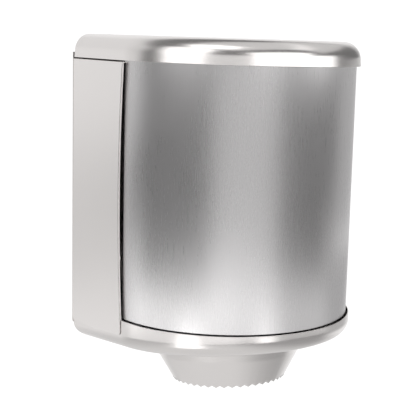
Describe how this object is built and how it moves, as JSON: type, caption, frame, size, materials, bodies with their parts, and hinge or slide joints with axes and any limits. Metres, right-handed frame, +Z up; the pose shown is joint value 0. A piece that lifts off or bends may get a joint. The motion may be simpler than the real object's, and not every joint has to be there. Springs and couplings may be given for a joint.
{
  "type": "paper towel dispenser",
  "caption": "Wall-mounted centre-pull paper towel dispenser in brushed steel: round hinged cover with a cap, flat sides, a bottom pan with a toothed outlet cone and a cam lock.",
  "frame": {"origin": "centre of the four wall holes, on the rear face of the back plate", "axes": "+X to the right for somebody facing the dispenser, +Y into the wall, +Z up"},
  "size_m": [0.2425, 0.21, 0.3294],
  "materials": {
    "brushed_sheet": "fine upright brushed grain",
    "satin_sheet": "satin",
    "plated_steel": "zinc plated",
    "lock_chrome": "plated",
    "guide_plastic": "moulded",
    "bush_nylon": "moulded",
    "buffer_rubber": "matt"
  },
  "bodies": {
    "housing": {"left_side_panel": "satin_sheet", "right_side_panel": "satin_sheet", "bottom_pan": "satin_sheet", "outlet_cone": "satin_sheet", "back_plate": "satin_sheet", "hinge_rod": "plated_steel", "rod_bracket": "plated_steel", "rod_nut": "plated_steel", "rod_spacer": "plated_steel", "rod_clip": "plated_steel", "guide_rivets": "plated_steel", "lock_nut": "plated_steel", "lock_housing": "lock_chrome", "paper_guide": "guide_plastic", "closing_buffer": "buffer_rubber"},
    "cover": {"front_cover": "brushed_sheet", "top_cap": "satin_sheet", "cap_band": "plated_steel", "lower_band": "plated_steel", "lower_hinge_ear": "plated_steel", "upper_hinge_ear": "plated_steel", "lower_bush": "bush_nylon", "upper_bush": "bush_nylon", "lock_keeper": "plated_steel", "keeper_rivets": "plated_steel"},
    "lock_core": {"lock_plug": "lock_chrome", "lock_cam": "plated_steel", "cam_washer": "plated_steel", "cam_screw": "plated_steel"}
  },
  "joints": [
    {"name": "cover_swing", "type": "hinge", "parent": "housing", "child": "cover", "pos_m": [-0.1075, -0.101, 0], "axis": [0, 0, -1], "range_deg": [0, 100]},
    {"name": "lock_turn", "type": "hinge", "parent": "housing", "child": "lock_core", "pos_m": [0.12, -0.066, 0], "axis": [-1, 0, 0], "range_deg": [0, 90]}
  ]
}
